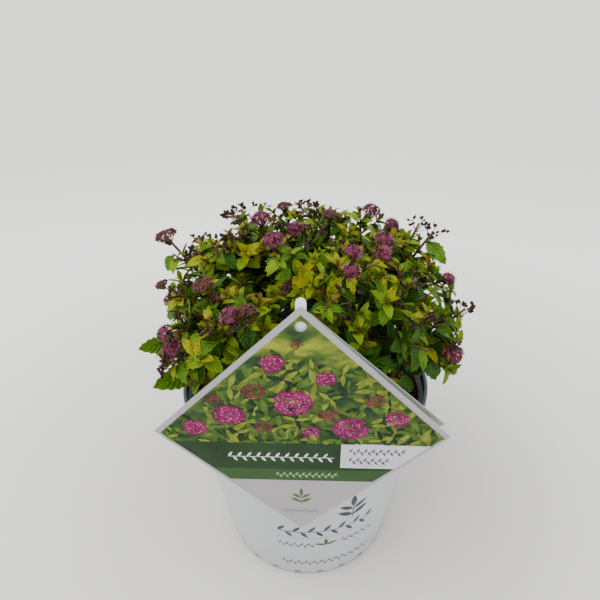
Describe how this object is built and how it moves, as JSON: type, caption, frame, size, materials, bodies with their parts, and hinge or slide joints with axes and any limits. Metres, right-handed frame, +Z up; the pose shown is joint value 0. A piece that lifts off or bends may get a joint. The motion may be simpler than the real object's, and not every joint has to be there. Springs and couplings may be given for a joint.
{
  "type": "potted spirea shrub",
  "caption": "Young spirea shrub with gold and green leaves, pink flower heads and dry seed heads, in a tapered white nursery pot with a diamond plant label on its rim.",
  "frame": {"origin": "centre of the pot's flat underside, on the surface it stands on", "axes": "+Z up, -Y towards the side that carries the plant label, +X to the right as seen from that side"},
  "size_m": [0.2071, 0.1899, 0.2616],
  "materials": {
    "pot": "moulded white polypropylene, slightly dusty, grey inside",
    "compost": "moist dark bark and peat crumb",
    "bark": "thin red-brown bark",
    "foliage": "gold and green leaves with pink and brown heads",
    "label_card": "printed semi-gloss plastic card",
    "label_tab": "white plastic strap",
    "label_back": "grey-green plastic leaf of the label with its stake"
  },
  "bodies": {
    "root": {"pot": "pot", "compost": "compost", "stem": "bark", "bough_01": "bark", "bough_02": "bark", "bough_03": "bark", "bough_04": "bark", "bough_05": "bark", "bough_06": "bark", "bough_07": "bark", "bough_08": "bark", "bough_09": "bark", "bough_10": "bark", "bough_11": "bark", "bough_12": "bark", "bough_13": "bark", "bough_14": "bark", "bough_15": "bark", "foliage_01": "foliage", "foliage_02": "foliage", "foliage_03": "foliage", "foliage_04": "foliage", "foliage_05": "foliage", "foliage_06": "foliage", "foliage_07": "foliage", "foliage_08": "foliage", "foliage_09": "foliage", "foliage_10": "foliage", "foliage_11": "foliage", "foliage_12": "foliage", "foliage_13": "foliage", "foliage_14": "foliage", "foliage_15": "foliage", "label_front": "label_card", "label_tab": "label_tab", "label_stake": "label_back"}
  },
  "joints": []
}
